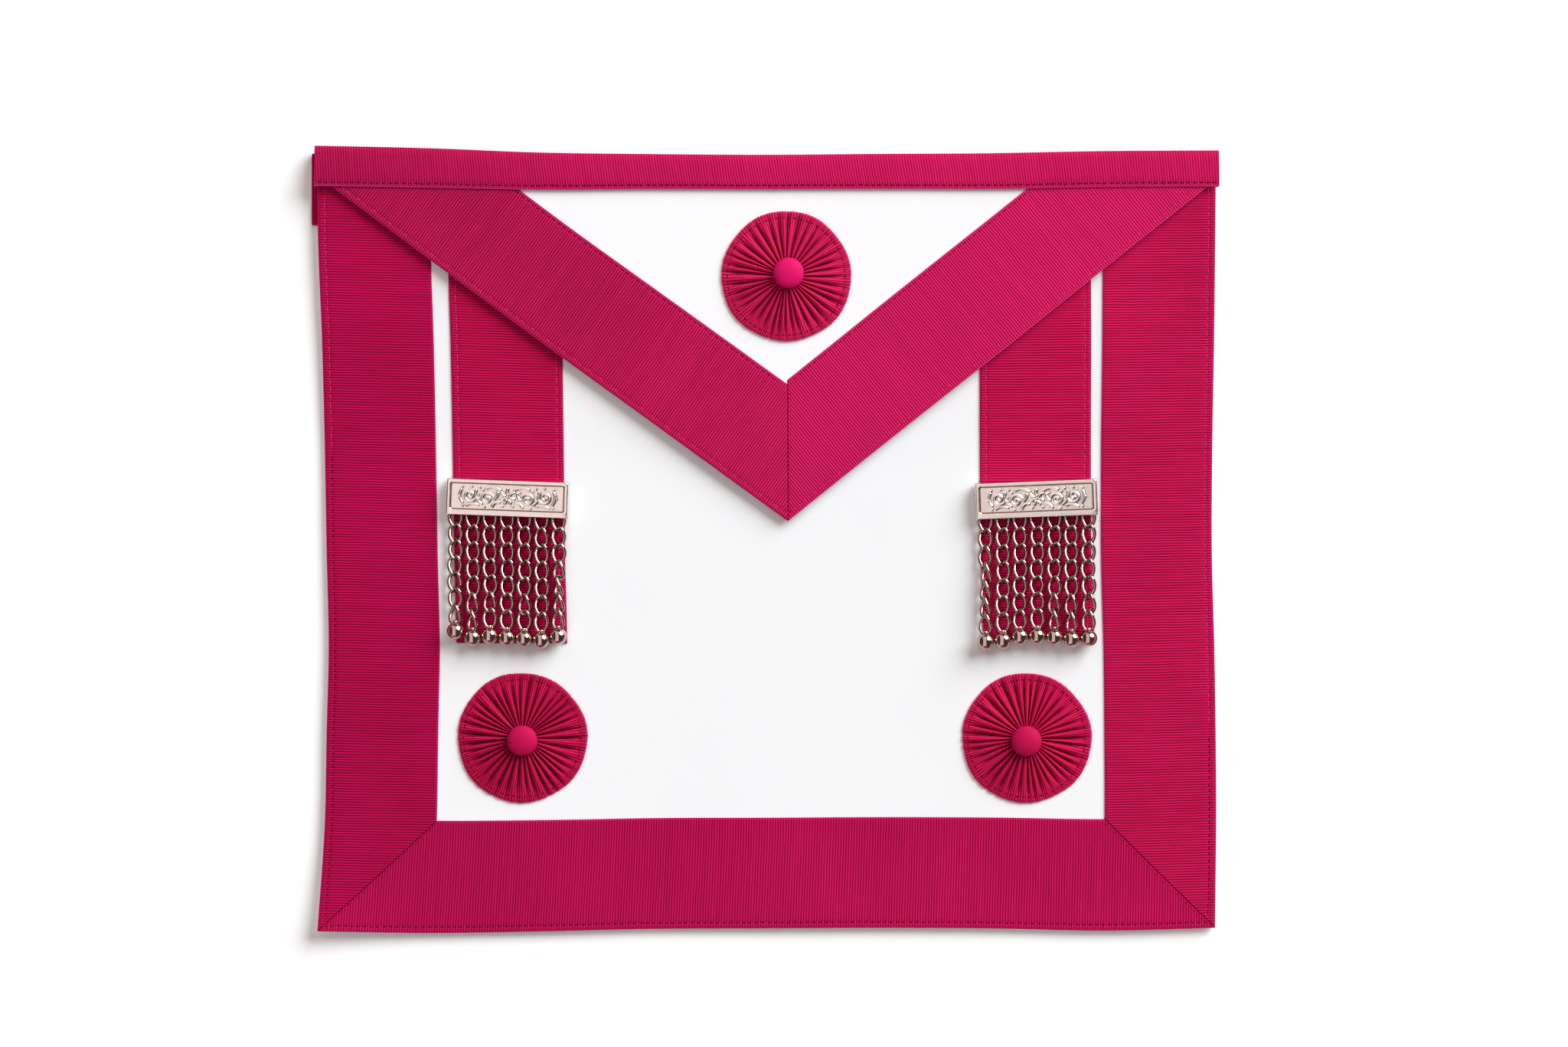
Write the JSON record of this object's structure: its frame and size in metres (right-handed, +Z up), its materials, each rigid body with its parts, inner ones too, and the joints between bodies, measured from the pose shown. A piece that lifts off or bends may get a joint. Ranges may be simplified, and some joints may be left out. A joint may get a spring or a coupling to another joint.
{
  "type": "ceremonial apron",
  "caption": "Ceremonial apron of white leather with crimson ribbon borders, a pointed flap, pleated rosettes, chain tassels and a waist belt.",
  "frame": {"origin": "on the table under the middle of the laid apron", "axes": "+Z up from the table, +X to the right along the waist band as the picture shows it, +Y towards the waist edge"},
  "size_m": [0.4108, 0.356, 0.0153],
  "materials": {
    "crimson_grosgrain": "ribbed silk grosgrain, soft sheen",
    "button_cloth": "plain cloth, matt",
    "white_leather": "smooth white lambskin, matt",
    "nickel_plate": "bright nickel plate"
  },
  "bodies": {
    "root": {"body_panel": "white_leather", "border_ribbon_left": "crimson_grosgrain", "border_ribbon_right": "crimson_grosgrain", "border_ribbon_hem": "crimson_grosgrain", "waist_band": "crimson_grosgrain", "flap_panel": "white_leather", "flap_ribbon_left": "crimson_grosgrain", "flap_ribbon_right": "crimson_grosgrain", "belt_strap_left": "crimson_grosgrain", "belt_strap_right": "crimson_grosgrain", "belt_clasp": "nickel_plate", "tassel_ribbon_left": "crimson_grosgrain", "tassel_plate_left": "nickel_plate", "chain_left_1": "nickel_plate", "chain_left_2": "nickel_plate", "chain_left_3": "nickel_plate", "chain_left_4": "nickel_plate", "chain_left_5": "nickel_plate", "chain_left_6": "nickel_plate", "chain_left_7": "nickel_plate", "tassel_ribbon_right": "crimson_grosgrain", "tassel_plate_right": "nickel_plate", "chain_right_1": "nickel_plate", "chain_right_2": "nickel_plate", "chain_right_3": "nickel_plate", "chain_right_4": "nickel_plate", "chain_right_5": "nickel_plate", "chain_right_6": "nickel_plate", "chain_right_7": "nickel_plate", "rosette_flap": "crimson_grosgrain", "button_flap": "button_cloth", "rosette_left": "crimson_grosgrain", "button_left": "button_cloth", "rosette_right": "crimson_grosgrain", "button_right": "button_cloth"}
  },
  "joints": []
}
